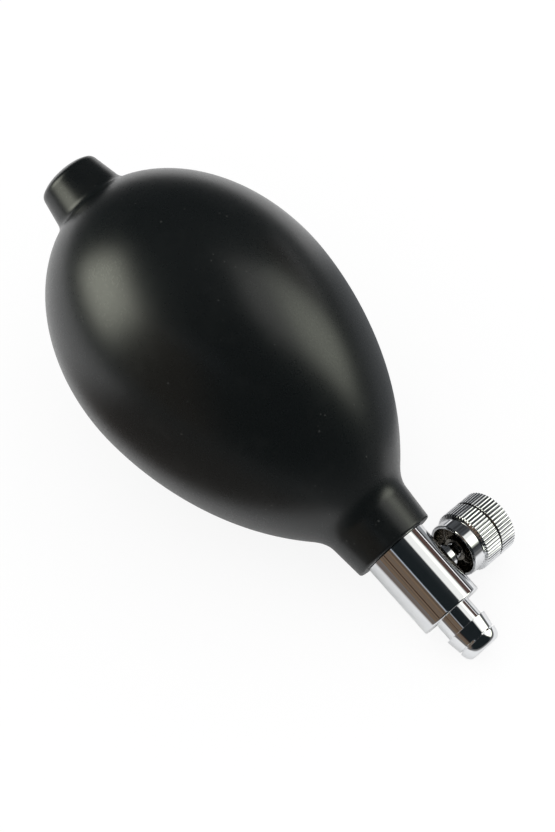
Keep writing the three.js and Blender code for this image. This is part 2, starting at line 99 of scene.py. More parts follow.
def cleaned(bm):  # doubles merged, faces turned outwards
    bmesh.ops.remove_doubles(bm, verts=bm.verts[:], dist=1e-4)
    bmesh.ops.recalc_face_normals(bm, faces=bm.faces[:])
    return bm


def turned(outline, steps):  # (along, radius, rounding) points spun round the axis
    outline = supported(outline)
    bm = bmesh.new()
    corners = [bm.verts.new((point[0], point[1], 0)) for point in outline]
    for a, b in zip(corners, corners[1:]):
        bm.edges.new((a, b))
    if outline[0][1] > 0:  # a ring's outline closes on itself
        bm.edges.new((corners[-1], corners[0]))
    roundings = {}
    for corner, point in zip(corners, outline):
        if len(point) > 2:
            roundings.setdefault(point[2], []).append(corner)
    for size, group in roundings.items():
        bmesh.ops.bevel(bm, geom=group, offset=size, offset_type="OFFSET", segments=3,
                        profile=0.5, affect="VERTICES", material=-1)
    bmesh.ops.spin(bm, geom=bm.verts[:] + bm.edges[:], cent=(0, 0, 0), axis=(1, 0, 0), dvec=(0, 0, 0),
                   angle=2 * math.pi, steps=steps, use_merge=True, use_normal_flip=False, use_duplicate=False)
    return cleaned(bm)


def placed(bm, name, place, finish, sharp=sharpAngle):  # a bmesh becomes an object with its place in its mesh
    bmesh.ops.transform(bm, matrix=place, verts=bm.verts[:])
    mesh = bpy.data.meshes.new(name)
    bm.to_mesh(mesh)
    bm.free()
    mesh.shade_smooth()
    mesh.set_sharp_from_angle(angle=math.radians(sharp))
    mesh.materials.append(finish)
    piece = bpy.data.objects.new(name, mesh)
    bpy.context.scene.collection.objects.link(piece)
    return piece


def adopt(piece, node, body):  # a fine piece stands for its CAD node
    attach(piece, body)
    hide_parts(node)
    print("made", piece.name, len(piece.data.polygons), "faces")


# Finishes

class Value:  # a socket that takes ordinary arithmetic
    def __init__(self, tree, socket):
        self.tree = tree
        self.socket = socket

    def __add__(self, other):
        return self.tree.maths("ADD", self, other)

    def __sub__(self, other):
        return self.tree.maths("SUBTRACT", self, other)

    def __rsub__(self, other):
        return self.tree.maths("SUBTRACT", other, self)

    def __mul__(self, other):
        return self.tree.maths("MULTIPLY", self, other)

    def __truediv__(self, other):
        return self.tree.maths("DIVIDE", self, other)

    def __rtruediv__(self, other):
        return self.tree.maths("DIVIDE", other, self)

    def __pow__(self, other):
        return self.tree.maths("POWER", self, other)

    def __rpow__(self, other):
        return self.tree.maths("POWER", other, self)

    __radd__ = __add__
    __rmul__ = __mul__


class NodeTree:
    def __init__(self, owner):
        owner.use_nodes = True
        self.nodes = owner.node_tree.nodes
        self.links = owner.node_tree.links
        self.nodes.clear()

    def add(self, kind, settings=None, inputs=None, output=0):
        node = self.nodes.new(kind)
        for key, setting in (settings or {}).items():
            setattr(node, key, setting)
        for key, given in (inputs or {}).items():
            if isinstance(given, Value):
                self.links.new(given.socket, node.inputs[key])
            else:
                node.inputs[key].default_value = given
        return Value(self, node.outputs[output]) if node.outputs else node

    def maths(self, operation, *values):
        return self.add("ShaderNodeMath", {"operation": operation}, dict(enumerate(values)))

    def between(self, value, low, high, start=0.0, end=1.0):  # a smooth step from start to end
        return self.add("ShaderNodeMapRange", {"interpolation_type": "SMOOTHSTEP"},
                        {"Value": value, "From Min": low, "From Max": high, "To Min": start, "To Max": end})

    def blend(self, share, first, second):  # colour mix; a plain colour is red, green and blue
        first, second = (c if isinstance(c, Value) else (*c, 1) for c in (first, second))
        return self.add("ShaderNodeMix", {"data_type": "RGBA"},
                        {"Factor": share, 6: first, 7: second}, output=2)

    def grain(self, where, size, detail=3.0, roughness=0.5):  # soft noise, size in mm
        return self.add("ShaderNodeTexNoise", {}, {"Vector": where, "Scale": 1 / (size * mm),
                        "Detail": detail, "Roughness": roughness})

    def bands(self, along, scale):  # noise that changes along one direction only
        return self.add("ShaderNodeTexNoise", {"noise_dimensions": "1D"},
                        {"W": along, "Scale": scale, "Detail": 3.0, "Roughness": 0.6})

    def along(self, where, direction):  # how far along a direction
        return self.add("ShaderNodeVectorMath", {"operation": "DOT_PRODUCT"}, {0: where, 1: direction},
                        output=1)

    def ray(self, kind):
        return self.add("ShaderNodeLightPath", output=kind)

    def relief(self, look, height):
        return self.add("ShaderNodeBump", {}, {"Strength": look["bump"], "Distance": look["relief"] * mm,
                                               "Height": height})

    def shade(self, **sockets):
        surface = self.add("ShaderNodeBsdfPrincipled", {}, sockets)
        self.add("ShaderNodeOutputMaterial", {}, {"Surface": surface})


def newFinish(name):
    material = bpy.data.materials.new(name)
    tree = NodeTree(material)
    return material, tree, tree.add("ShaderNodeTexCoord", output="Object")


def rubberFinish(name, look):  # cloudy moulded rubber with fine grain and a few specks of dust
    material, tree, where = newFinish(name)
    cloud = tree.grain(where, look["cloudSize"], 4)
    mottle = tree.grain(where, look["mottleSize"], 6, 0.62)
    fine = tree.grain(where, look["grainSize"], 2)
    cells = tree.add("ShaderNodeTexVoronoi", {"feature": "F1"},
                     {"Vector": where, "Scale": 1 / (look["speckSpacing"] * mm), "Randomness": 1.0})
    clump = tree.between(tree.grain(where, look["clumpSize"], 1), *look["clumpEdge"])
    speck = tree.between(cells, *look["speckEdge"]) * clump
    dust = tree.between(mottle, *look["dustEdge"]) * look["dust"]
    colour = tree.blend(cloud, look["dark"], look["light"])
    colour = tree.blend(dust, colour, look["dustColour"])
    colour = tree.blend(speck * look["speckShow"], colour, look["speckColour"])
    rough = look["roughness"] + (cloud - 0.5) * look["roughSpread"] + (mottle - 0.5) * look["roughSpread"]
    rough = rough + (fine - 0.5) * look["grainRough"] + speck * look["speckRough"]
    normal = tree.relief(look, fine * 0.5 + mottle * 0.5 - speck * look["speckDepth"])
    tree.shade(**{"Base Color": colour, "Roughness": rough, "Normal": normal, "IOR": look["ior"]})
    return material


def metalFinish(name, look, direction):  # turned metal: faint rings round its axis
    material, tree, where = newFinish(name)
    smear = tree.grain(where, look["smearSize"], 4, 0.6)
    spots = tree.between(tree.grain(where, look["spotSize"], 3), *look["spotEdge"])
    rings = tree.bands(tree.along(where, direction) / (look["ringPitch"] * mm), 1.0)
    colour = tree.blend(smear, look["bright"], look["dull"])
    rough = look["roughness"] + smear * look["roughSpread"] + spots * look["roughSpread"]
    rough = rough + (rings - 0.5) * look["ringRough"]
    normal = tree.relief(look, rings + smear * look["smearDepth"])
    tree.shade(**{"Base Color": colour, "Metallic": 1.0, "Roughness": rough, "Normal": normal})
    return material


# Sizes, spacings and relief in mm.
bulbRubberLook = {
    "dark": (0.0018, 0.0032, 0.0034), "light": (0.0040, 0.0056, 0.0058), "cloudSize": 26,
    "roughness": 0.30, "roughSpread": 0.06, "ior": 1.5, "bump": 0.35, "relief": 0.012,
    "mottleSize": 5.5, "dust": 0.10, "dustEdge": (0.5, 0.74), "dustColour": (0.020, 0.021, 0.020),
    "grainSize": 0.34, "grainRough": 0.16,
    "speckSpacing": 1.7, "speckEdge": (0.16, 0.056), "speckShow": 0.4, "speckColour": (0.06, 0.062, 0.058),
    "speckRough": 0.12, "speckDepth": 1.4, "clumpSize": 5.27, "clumpEdge": (0.56, 0.64),
}
sealRubberLook = dict(bulbRubberLook, dark=(0.018, 0.017, 0.016), light=(0.03, 0.028, 0.026), roughness=0.55,
                      mottleSize=1.4, grainSize=0.12, cloudSize=4)
chromeLook = {
    "bright": (0.80, 0.81, 0.82), "dull": (0.70, 0.71, 0.73), "roughness": 0.035, "roughSpread": 0.035,
    "smearSize": 3.0, "smearDepth": 0.3, "spotSize": 0.7, "spotEdge": (0.62, 0.72),
    "ringPitch": 0.12, "ringRough": 0.02, "bump": 0.12, "relief": 0.003,
}
# darker, duller metal for inside the knob's recess and its groove
recessLook = dict(chromeLook, bright=(0.40, 0.38, 0.34), dull=(0.18, 0.16, 0.14), roughness=0.16,
                  roughSpread=0.1)
brassLook = dict(chromeLook, bright=(0.76, 0.58, 0.30), dull=(0.52, 0.37, 0.17), roughness=0.24,
                 roughSpread=0.16, ringRough=0.08, bump=0.4)
steelLook = dict(chromeLook, bright=(0.60, 0.60, 0.61), dull=(0.45, 0.45, 0.46), roughness=0.22,
                 roughSpread=0.12, smearSize=1.2, bump=0.3)

bulbRubber = rubberFinish("bulbRubber", bulbRubberLook)
sealRubber = rubberFinish("sealRubber", sealRubberLook)
lineChrome = metalFinish("lineChrome", chromeLook, lineDir)
knobChrome = metalFinish("knobChrome", chromeLook, screwDir)
recessChrome = metalFinish("recessChrome", recessLook, screwDir)
lineBrass = metalFinish("lineBrass", brassLook, lineDir)
screwBrass = metalFinish("screwBrass", brassLook, screwDir)
wireSteel = metalFinish("wireSteel", steelLook, lineDir)
print("finishes made")

# Bulb: distances in mm from the end of the tail, radii in mm

bulb = {
    "length": 91.044, "radius": 25.98, "widest": 40.44, "tailPole": 6.74,
    "noseFullness": 4.2, "neck": 80.84, "neckRadius": 10.3, "neckRun": 15.6, "neckSlope": 0.95,
    "cuff": 84.44, "cuffRadius": 8.6, "cuffFlare": 0.1, "cuffWall": 1.2,
    "cuffBoreStart": 79.8, "cuffBore": 5.87, "cuffBoreRound": 0.3, "lipRadius": 8.1, "lipRound": 0.42,
    "tailLength": 8.1, "tailBase": 7.3, "tailFillet": 1.2, "filletRun": 0.48, "filletGap": 0.3,
    "tailEnd": 6.0, "tailRound": 0.6,
    "tailDome": 1.5, "tailDomeHandles": ((0.30, 3.6), (0.62, 4.9)), "tailFlat": 0.15,
    "hole": 2.6, "holeRound": 0.35, "tailBore": 4.32, "boreStart": 1.9, "boreEnd": 9.8, "boreRound": 0.2,
    "wall": 2.5, "chamberStart": 14.6, "chamberEnd": 76.6, "steps": 192,
}
lineStart = crossing + lineDir * (reach("rubber_bulb", lineDir) - bulb["length"]) * mm
linePlace = placeAlong(lineStart, lineDir, screwDir)
screwPlace = placeAlong(crossing, screwDir, lineDir.cross(screwDir))


def bulbSkin():  # the outside, from the hole in the tail to the lip of the cuff
    b = bulb
    quarter = 0.5523  # handle length that makes a quarter of an ellipse
    slope = b["neckSlope"]
    shoulder = b["neckRadius"] + slope * b["neckRun"]
    reachBack = b["widest"] - b["tailPole"]
    footStart = b["tailLength"] - b["tailFillet"]
    footEnd = b["tailLength"] + b["filletRun"]
    footShare = b["tailFillet"] / (b["tailLength"] - b["tailDome"])
    footRadius = b["tailBase"] - (b["tailBase"] - b["tailEnd"]) * footShare
    eggAtFoot = b["radius"] * math.sqrt(1 - ((b["widest"] - footEnd) / reachBack) ** 2)
    dome = bezier(9, (b["tailFlat"], b["hole"]), *b["tailDomeHandles"], (b["tailDome"], b["tailEnd"]))
    foot = eased(9, (footStart, footRadius), (b["tailLength"], b["tailBase"]), (footEnd, eggAtFoot))
    tail = bezier(48, (b["tailPole"], 0), (b["tailPole"], b["radius"] * quarter),
                  (b["widest"] - reachBack * quarter, b["radius"]), (b["widest"], b["radius"]))
    nose = bezier(56, (b["widest"], b["radius"]), (b["widest"] + b["noseFullness"], b["radius"]),
                  (b["neck"] - b["neckRun"], shoulder), (b["neck"], b["neckRadius"]))
    neckFoot = b["neck"] + (b["neckRadius"] - b["cuffRadius"]) / slope
    fillet = eased(9, (b["neck"], b["neckRadius"]), (neckFoot, b["cuffRadius"] + b["cuffFlare"]),
                   (b["cuff"], b["cuffRadius"]))
    return [(*dome[0], b["holeRound"]), *dome[1:-1], (*dome[-1], b["tailRound"]), *foot,
            *[point for point in tail[:-1] if point[0] > footEnd + b["filletGap"]], *nose[:-1], *fillet,
            (b["length"], b["lipRadius"], b["lipRound"])]


def bulbHollow():  # the inside, from the cuff back to the tail
    b = bulb
    skin = bulbSkin()
    inner = []
    for before, point, after in zip(skin, skin[1:], skin[2:]):
        along = Vector((after[0] - before[0], after[1] - before[1])).normalized()
        inner.append((point[0] + along.y * b["wall"], point[1] - along.x * b["wall"]))
    chamber = [(along, radius) for along, radius in inner[::4]
               if b["chamberStart"] < along < b["chamberEnd"] and radius > b["cuffBore"] + b["cuffWall"]]
    return [(b["length"], b["cuffBore"], b["cuffBoreRound"]), (b["cuffBoreStart"], b["cuffBore"]),
            *reversed(chamber), (b["boreEnd"], b["tailBore"]), (b["boreStart"], b["tailBore"]),
            (b["boreStart"], b["hole"], b["boreRound"])]


bulbMesh = turned(bulbSkin() + bulbHollow(), bulb["steps"])
bulbPiece = placed(bulbMesh, "squeeze_bulb", linePlace, bulbRubber, 40)
adopt(bulbPiece, "rubber_bulb", "root")

# Intake in the tail

intake = {
    "sleeveStart": 2.2, "sleeveEnd": 13.6, "sleeveRadius": 3.9, "sleeveRound": 0.15, "bore": 3.2,
    "ridge": 0.3, "ridges": 3, "ridgeLead": 1.0, "ridgeRise": 0.3, "fineRound": 0.05, "edgeRound": 0.1,
    "web": 4.2, "webThick": 1.3, "port": 1.4, "seatWidth": 0.5, "seatHeight": 0.25,
    "ringStart": 2.65, "ringEnd": 3.45, "ringOuter": 3.08, "ringInner": 2.28, "ringRound": 0.25,
    "ringEdge": 0.12,
    "screenMiddle": 3.725, "screenRadius": 3.06, "screenInset": 0.05, "wire": 0.095, "wirePitch": 0.42,
    "weave": 0.075, "steps": 64,
}


def sleeveOutline():
    s = intake
    edge, fine = s["edgeRound"], s["fineRound"]
    outline = [(s["sleeveStart"], s["bore"], edge), (s["sleeveStart"], s["sleeveRadius"], s["sleeveRound"])]
    pitch = (s["sleeveEnd"] - s["sleeveStart"] - s["ridgeLead"]) / s["ridges"]
    for i in range(s["ridges"]):
        foot = s["sleeveStart"] + s["ridgeLead"] + pitch * i
        rise = foot + pitch * s["ridgeRise"]
        outline += [(rise, s["sleeveRadius"]), (rise, s["sleeveRadius"] + s["ridge"], fine),
                    (foot + pitch, s["sleeveRadius"])]
    web = s["web"] + s["webThick"]
    seat = s["port"] + s["seatWidth"]
    outline += [(s["sleeveEnd"], s["bore"], edge), (web, s["bore"]), (web, seat),
                (web + s["seatHeight"], seat, fine), (web + s["seatHeight"], s["port"], fine),
                (s["web"], s["port"], edge), (s["web"], s["bore"])]
    return outline


sleevePiece = placed(turned(sleeveOutline(), intake["steps"]), "tail_sleeve", linePlace, lineBrass)
adopt(sleevePiece, "intake_sleeve", "root")

ringOutline = [(intake["ringStart"], intake["ringInner"], intake["ringRound"]),
               (intake["ringStart"], intake["ringOuter"], intake["ringEdge"]),
               (intake["ringEnd"], intake["ringOuter"]),
               (intake["ringEnd"], intake["ringInner"], intake["edgeRound"])]
ringPiece = placed(turned(ringOutline, intake["steps"]), "screen_ring", linePlace, lineChrome)
adopt(ringPiece, "intake_screen_ring", "root")


def wireMesh(name, runs, thickness, place, finish):  # round wire along lists of points
    curve = bpy.data.curves.new(name, "CURVE")
    curve.dimensions = "3D"
    curve.bevel_depth = thickness
    curve.bevel_resolution = 2
    curve.use_fill_caps = True
    for run in runs:
        spline = curve.splines.new("POLY")
        spline.points.add(len(run) - 1)
        for point, spot in zip(spline.points, run):
            point.co = (*spot, 1)
    holder = bpy.data.objects.new(name + "_run", curve)
    bpy.context.scene.collection.objects.link(holder)
    bm = bmesh.new()
    bm.from_mesh(holder.to_mesh())
    bpy.data.objects.remove(holder)
    return placed(cleaned(bm), name, place, finish, 60)


def screenRuns():  # plain weave: each wire passes over and under the ones it crosses
    s = intake
    count = int(s["screenRadius"] / s["wirePitch"])
    runs = []
    for way in (0, 1):
        for i in range(-count, count + 1):
            across = i * s["wirePitch"]
            half = math.sqrt(s["screenRadius"] ** 2 - across ** 2) - s["screenInset"]
            pieces = max(2, round(4 * half / s["wirePitch"]))
            run = []
            for k in range(pieces + 1):
                spot = -half + 2 * half * k / pieces
                lift = s["weave"] * math.cos(math.pi * (spot / s["wirePitch"] + i + way))
                run.append((s["screenMiddle"] + lift, *((spot, across) if way else (across, spot))))
            runs.append(run)
    return runs


screenPiece = wireMesh("woven_screen", screenRuns(), intake["wire"], linePlace, wireSteel)
adopt(screenPiece, "dust_screen", "root")

# Valve body

valve = {
    "back": 91.10, "front": 106.444, "radius": 6.2, "edge": 0.3, "backEdge": 0.08, "innerEdge": 0.1,
    "loopStart": 1.0, "loopPitch": 0.65, "loops": 21,
    "spigotStart": 77.944, "spigotRadius": 5.3, "ridge": 0.45, "ridges": 3, "ridgeRun": 0.7,
    "ridgeEnd": 89.844, "ridgeEdge": 0.08,
    "recess": 0.6, "recessRadius": 3.82, "threadRadius": 3.02, "threadEnd": 101.744, "gallery": 1.5,
    "checkEnd": 89.344, "checkBore": 3.7,
    "bushHole": 2.97, "bushFloor": 1.95, "bushReach": 9.0, "steps": 128, "holeSteps": 96,
}


def valveOutline():
    v = valve
    edge = v["innerEdge"]
    recessFloor = v["front"] - v["recess"]
    outline = []
    pitch = (v["ridgeEnd"] - v["spigotStart"]) / v["ridges"]
    for i in range(v["ridges"]):
        foot = v["spigotStart"] + pitch * i
        crest = foot + pitch * v["ridgeRun"]
        outline += [(foot, v["spigotRadius"]), (crest, v["spigotRadius"] + v["ridge"], v["ridgeEdge"]),
                    (crest, v["spigotRadius"])]
    outline += [(v["back"], v["spigotRadius"]), (v["back"], v["radius"], v["backEdge"])]
    # Loops along the barrel keep its faces short beside the screw's hole.
    outline += [(v["back"] + v["loopStart"] + i * v["loopPitch"], v["radius"]) for i in range(v["loops"])]
    outline += [(v["front"], v["radius"], v["edge"]),
                (v["front"], v["recessRadius"], edge), (recessFloor, v["recessRadius"]),
                (recessFloor, v["threadRadius"], edge), (v["threadEnd"], v["threadRadius"]),
                (v["threadEnd"], v["gallery"]), (v["checkEnd"], v["gallery"]),
                (v["checkEnd"], v["checkBore"]), (v["spigotStart"], v["checkBore"], edge)]
    return outline


def carved(piece, cutter):  # cutter is taken out of piece
    cut = piece.modifiers.new("hole", "BOOLEAN")
    cut.operation = "DIFFERENCE"
    cut.solver = "EXACT"
    cut.object = cutter
    bpy.context.view_layer.update()
    result = bpy.data.meshes.new_from_object(piece.evaluated_get(bpy.context.evaluated_depsgraph_get()))
    piece.modifiers.clear()
    piece.data = result
    bpy.data.objects.remove(cutter)
    result.set_sharp_from_angle(angle=math.radians(sharpAngle))


valvePiece = placed(turned(valveOutline(), valve["steps"]), "valve_barrel", linePlace, lineChrome)
holeOutline = [(valve["bushFloor"], 0), (valve["bushFloor"], valve["bushHole"]),
               (valve["bushReach"], valve["bushHole"]), (valve["bushReach"], 0)]
holePiece = placed(turned(holeOutline, valve["holeSteps"]), "hole_cutter", screwPlace, lineChrome)
carved(valvePiece, holePiece)
adopt(valvePiece, "valve_body", "root")

# Hose nipple

nipple = {
    "threadStart": 102.644, "threadRadius": 2.9, "threadRound": 0.2, "shoulder": 105.944, "neckRadius": 3.7,
    "neckEdge": 0.08, "bore": 1.3, "boreRound": 0.1, "edge": 0.06,
    "ridge": 110.064, "ridgeEdge": 0.07, "ridgeRadius": 4.3, "ridgeEnd": 112.914, "ridgeEndRadius": 3.85,
    "groove": 0.25, "grooveRadius": 3.5,
    "noseRadius": 3.95, "noseFlat": 0.1, "noseCorner": (0.35, 0.25),
    "tip": 115.214, "tipRadius": 2.9, "tipRound": 0.2, "steps": 112,
}


def nippleOutline():
    n = nipple
    nose = n["ridgeEnd"] + n["groove"]
    corner = (n["tip"] - n["noseCorner"][0], n["noseRadius"] - n["noseCorner"][1])
    return [(n["threadStart"], n["bore"], n["boreRound"]),
            (n["threadStart"], n["threadRadius"], n["threadRound"]),
            (n["shoulder"], n["threadRadius"]), (n["shoulder"], n["neckRadius"], n["neckEdge"]),
            (n["ridge"], n["neckRadius"]), (n["ridge"], n["ridgeRadius"], n["ridgeEdge"]),
            (n["ridgeEnd"], n["ridgeEndRadius"], n["edge"]), (n["ridgeEnd"], n["grooveRadius"]),
            (nose, n["grooveRadius"]), (nose, n["noseRadius"], n["edge"]),
            *eased(8, (nose + n["noseFlat"], n["noseRadius"]), corner, (n["tip"], n["tipRadius"]))[1:],
            (n["tip"], n["bore"], n["tipRound"])]


nipplePiece = placed(turned(nippleOutline(), nipple["steps"]), "hose_spigot", linePlace, lineChrome)
adopt(nipplePiece, "hose_nipple", "root")

# Release screw: distances in mm out from the valve's axis

bush = {
    "start": 3.15, "chamber": 2.2, "chamberEdge": 0.05, "chamberTop": 6.3, "skirt": 2.85, "skirtEdge": 0.15,
    "shoulder": 5.3, "radius": 2.5, "top": 7.2, "edge": 0.2, "bore": 1.6, "boreEdge": 0.12, "steps": 80,
}
bushOutline = [(bush["start"], bush["chamber"], bush["chamberEdge"]),
               (bush["start"], bush["skirt"], bush["skirtEdge"]),
               (bush["shoulder"], bush["skirt"], bush["skirtEdge"]), (bush["shoulder"], bush["radius"]),
               (bush["top"], bush["radius"], bush["edge"]), (bush["top"], bush["bore"], bush["boreEdge"]),
               (bush["chamberTop"], bush["bore"]), (bush["chamberTop"], bush["chamber"])]
bushPiece = placed(turned(bushOutline, bush["steps"]), "screw_bush", screwPlace, knobChrome)
adopt(bushPiece, "gland_bush", "root")

spindle = {
    "headStart": 3.7, "headRadius": 0.85, "headEnd": 4.15, "neck": 0.5, "start": 4.75, "radius": 1.5,
    "startEdge": 0.15, "edge": 0.1, "end": 13.4, "steps": 48,
    "root": 1.26, "threadStart": 5.35, "threadEnd": 8.7, "threadFade": (0.05, 0.1), "lead": 0.5,
    "toothWidth": 0.84, "crestWidth": 0.21, "toothSink": 0.06, "threadSteps": 24,
}


def spindleMesh():
    s = spindle
    edge = s["edge"]
    short, past = s["threadFade"]
    bm = turned([(s["headStart"], 0), (s["headStart"], s["headRadius"], edge),
                 (s["headEnd"], s["headRadius"], edge), (s["headEnd"], s["neck"]),
                 (s["start"], s["neck"]), (s["start"], s["radius"], s["startEdge"]),
                 (s["threadStart"] - short, s["radius"]), (s["threadStart"] + past, s["root"]),
                 (s["threadEnd"] - past, s["root"]), (s["threadEnd"] + short, s["radius"]),
                 (s["end"], s["radius"], edge), (s["end"], 0)], s["steps"])
    foot = s["toothWidth"] * s["lead"] / 2
    crest = s["crestWidth"] * s["lead"] / 2
    footRadius = s["root"] - s["toothSink"]
    tooth = [bm.verts.new((s["threadStart"] + along, radius, 0))
             for along, radius in ((-foot, footRadius), (-crest, s["radius"]), (crest, s["radius"]),
                                   (foot, footRadius))]
    face = bm.faces.new(tooth)
    others = set(bm.faces)
    turns = (s["threadEnd"] - s["threadStart"]) / s["lead"]
    steps = round(turns * s["threadSteps"])
    bmesh.ops.spin(bm, geom=[face, *face.edges, *face.verts], cent=(0, 0, 0), axis=(1, 0, 0),
                   dvec=(s["lead"] * turns / steps, 0, 0), angle=2 * math.pi * turns, steps=steps,
                   use_merge=False, use_normal_flip=False, use_duplicate=False)
    thread = [f for f in bm.faces if f not in others] + [face]
    bmesh.ops.recalc_face_normals(bm, faces=[f for f in thread if f.is_valid])
    return bm


spindlePiece = placed(spindleMesh(), "threaded_spindle", screwPlace, knobChrome)
adopt(spindlePiece, "release_spindle", "release_screw")

knob = {
    "underside": 8.5, "collarRadius": 5.3, "collarEdge": 0.25, "collarEnd": 11.2, "radius": 6.0,
    "step": 0.25, "stepEdge": 0.12,
    "bandLength": 3.75, "groove": 0.35, "grooveDepth": 0.63, "grooveBevel": (0.08, 0.1),
    "top": 19.05, "topEdge": 0.45, "topSlope": 0.25, "topRise": 0.12,
    "dish": 0.12, "dishRadius": 4.4, "dishSlope": 0.25, "dishEdge": 0.08,
    "ridges": 50, "ridgeDepth": 0.15, "ridgeRoundness": 3, "stepsPerRidge": 8,
    "rim": 0.6, "rimEdge": 0.15, "recessDepth": 2.9, "recessEdge": 0.2,
    "hub": 2.3, "hubInset": 0.4, "hubEdge": 0.15, "socket": 1.62, "socketEdge": 0.1, "socketEnd": 13.7,
}


def knobOutline():
    k = knob
    top, radius, step = k["top"], k["radius"], k["step"]
    grooveStart = k["collarEnd"] + k["bandLength"]
    grooveEnd = grooveStart + k["groove"]
    grooveFloor = radius - k["grooveDepth"]
    bevelRun, bevelDrop = k["grooveBevel"]
    recess = k["collarRadius"] - k["rim"]
    hubEnd = k["underside"] + k["hubInset"]
    floor = k["underside"] + k["recessDepth"]
    return [
        (k["socketEnd"], 0), (k["socketEnd"], k["socket"]), (hubEnd, k["socket"], k["socketEdge"]),
        (hubEnd, k["hub"], k["hubEdge"]), (floor, k["hub"], k["hubEdge"]), (floor, recess, k["recessEdge"]),
        (k["underside"], recess, k["rimEdge"]), (k["underside"], k["collarRadius"], k["collarEdge"]),
        (k["collarEnd"] - step, k["collarRadius"], k["stepEdge"]), (k["collarEnd"], radius - step),
        (k["collarEnd"] + step, radius),
        (grooveStart - bevelRun, radius), (grooveStart, radius - bevelDrop), (grooveStart, grooveFloor),
        (grooveEnd, grooveFloor), (grooveEnd, radius - bevelDrop), (grooveEnd + bevelRun, radius),
        (top - k["topEdge"], radius), (top - k["topRise"], radius - k["topEdge"] * 0.8),
        (top, radius - k["topEdge"] - k["topSlope"]), (top, k["dishRadius"], k["dishEdge"]),
        (top - k["dish"], k["dishRadius"] - k["dishSlope"]), (top - k["dish"], 0),
    ]


def knobMesh():
    k = knob
    bm = turned(knobOutline(), k["ridges"] * k["stepsPerRidge"])
    deep = k["radius"] - k["ridgeDepth"]
    for vert in bm.verts:
        out = math.hypot(vert.co.y, vert.co.z)
        if out > deep and vert.co.x > k["collarEnd"] - 0.01:
            turn = math.atan2(vert.co.z, vert.co.y) * k["ridges"] / (2 * math.pi)
            phase = abs(turn - round(turn)) * 2  # 0 in the valley, 1 on the crest
            crest = 1 - (1 - phase) ** k["ridgeRoundness"]
            wanted = min(out, deep + k["ridgeDepth"] * crest)
            vert.co.y *= wanted / out
            vert.co.z *= wanted / out
    return bm


def inDarkerHollow(spot):  # the metal is darker and duller inside the knob's recess and its groove
    k = knob
    out = math.hypot(spot.y, spot.z)
    recessEnd = k["underside"] + k["recessDepth"] + 0.1
    inRecess = spot.x < recessEnd and out < k["collarRadius"] - k["rim"] + 0.05
    inGroove = k["collarEnd"] + 1 < spot.x < k["top"] - 1 and out < k["radius"] - 0.2
    return inRecess or inGroove


knobPiece = placed(knobMesh(), "knurled_knob", screwPlace, knobChrome, 24)
# faces inside the recess and the groove take the darker, duller metal
knobPiece.data.materials.append(recessChrome)
screwSpace = screwPlace.inverted()
for face in knobPiece.data.polygons:
    face.material_index = int(inDarkerHollow(screwSpace @ face.center))
adopt(knobPiece, "release_knob", "release_screw")

# Outlet spring

spring = {
    "start": 82.17, "end": 87.52, "coil": 1.6, "wire": 0.2, "turns": 5.5, "deadTurns": 0.75,
    "closeness": 2.05, "perTurn": 28, "keep": 0.832,
}


def springRun():  # open coils between two ends that are wound close
    s = spring
    run = []
    closePitch = s["wire"] * s["closeness"]
    dead = s["deadTurns"]
    low = s["start"] + s["wire"]
    span = s["end"] - s["start"] - 2 * s["wire"] - 2 * dead * closePitch
    for i in range(round((s["turns"] + 2 * dead) * s["perTurn"]) + 1):
        turn = i / s["perTurn"]
        risen = min(max(turn - dead, 0), s["turns"]) / s["turns"] * span
        closed = (min(turn, dead) + max(0, turn - dead - s["turns"])) * closePitch
        angle = 2 * math.pi * turn
        run.append((low + risen + closed, s["coil"] * math.cos(angle), s["coil"] * math.sin(angle)))
    return run


springPiece = wireMesh("coil_spring", [springRun()], spring["wire"], linePlace, wireSteel)
adopt(springPiece, "outlet_spring", "root")
squashAnchor = lineStart + lineDir * spring["end"] * mm
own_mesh(springPiece)
print("pieces made")

# Finishes of the CAD nodes that stay

keptFinishes = {  # all of these lie inside
    "intake_cage": lineBrass, "outlet_seat": lineBrass, "outlet_poppet": lineBrass,
    "spring_retainer": lineBrass, "release_seat": screwBrass, "needle_plug": screwBrass,
    "stop_ring": wireSteel,
    "intake_disc": sealRubber, "outlet_pad": sealRubber, "nipple_seal": sealRubber,
}
for node, finish in keptFinishes.items():
    slots = frame["nodes"][node].material_slots
    for slot in slots:
        slot.material = finish
    if not slots:
        frame["nodes"][node].data.materials.append(finish)
print("kept nodes finished")

# Floor, light and camera

studio = {
    "floorHalf": 3.0, "floorColours": ((0.90, 0.90, 0.90), (0.92, 0.92, 0.92)), "shadowShare": 0.12,
    "dome": (1.2, 1.2, 1.2), "backdrop": (1.0, 1.0, 1.0),
    "room": (0.085, 0.09, 0.095), "roomScale": 5.0, "roomDimmed": 0.45, "roomDimmedEdge": (0.4, 0.62),
    "boardsFacing": (2, 104), "boardsScale": 11.0, "boardsEdge": (0.36, 0.60), "boardsShade": 0.45,
    "azimuth": 48.2, "elevation": 56.7, "distance": 0.6, "lens": 144.45, "lineTurn": 138.465,
    "aim": 59.45, "aimAside": -0.225,
}
# What the gloss sees of the floor is a pale sheet on a darker table, with painted shade on it to the back,
# where the bulb and the knob shade it. Each row is a darker zone's colour, then the metres between which it
# sets in: to the right, to the back, to the back on a slant, or outwards.
floorZones = [
    # painted shade: grey where the bulb and the knob shade the floor to the back, seen only in gloss
    ((0.27, 0.28, 0.29), {"slanted": (0.018, 0.034), "right": (-0.045, -0.02)}),
    ((0.15, 0.125, 0.11), {"back": (-0.026, -0.046), "right": (-0.07, -0.03)}),
    ((0.14, 0.14, 0.14), {"right": (0.060, 0.085)}),
    ((0.14, 0.14, 0.14), {"outwards": (0.18, 0.30)}),
]
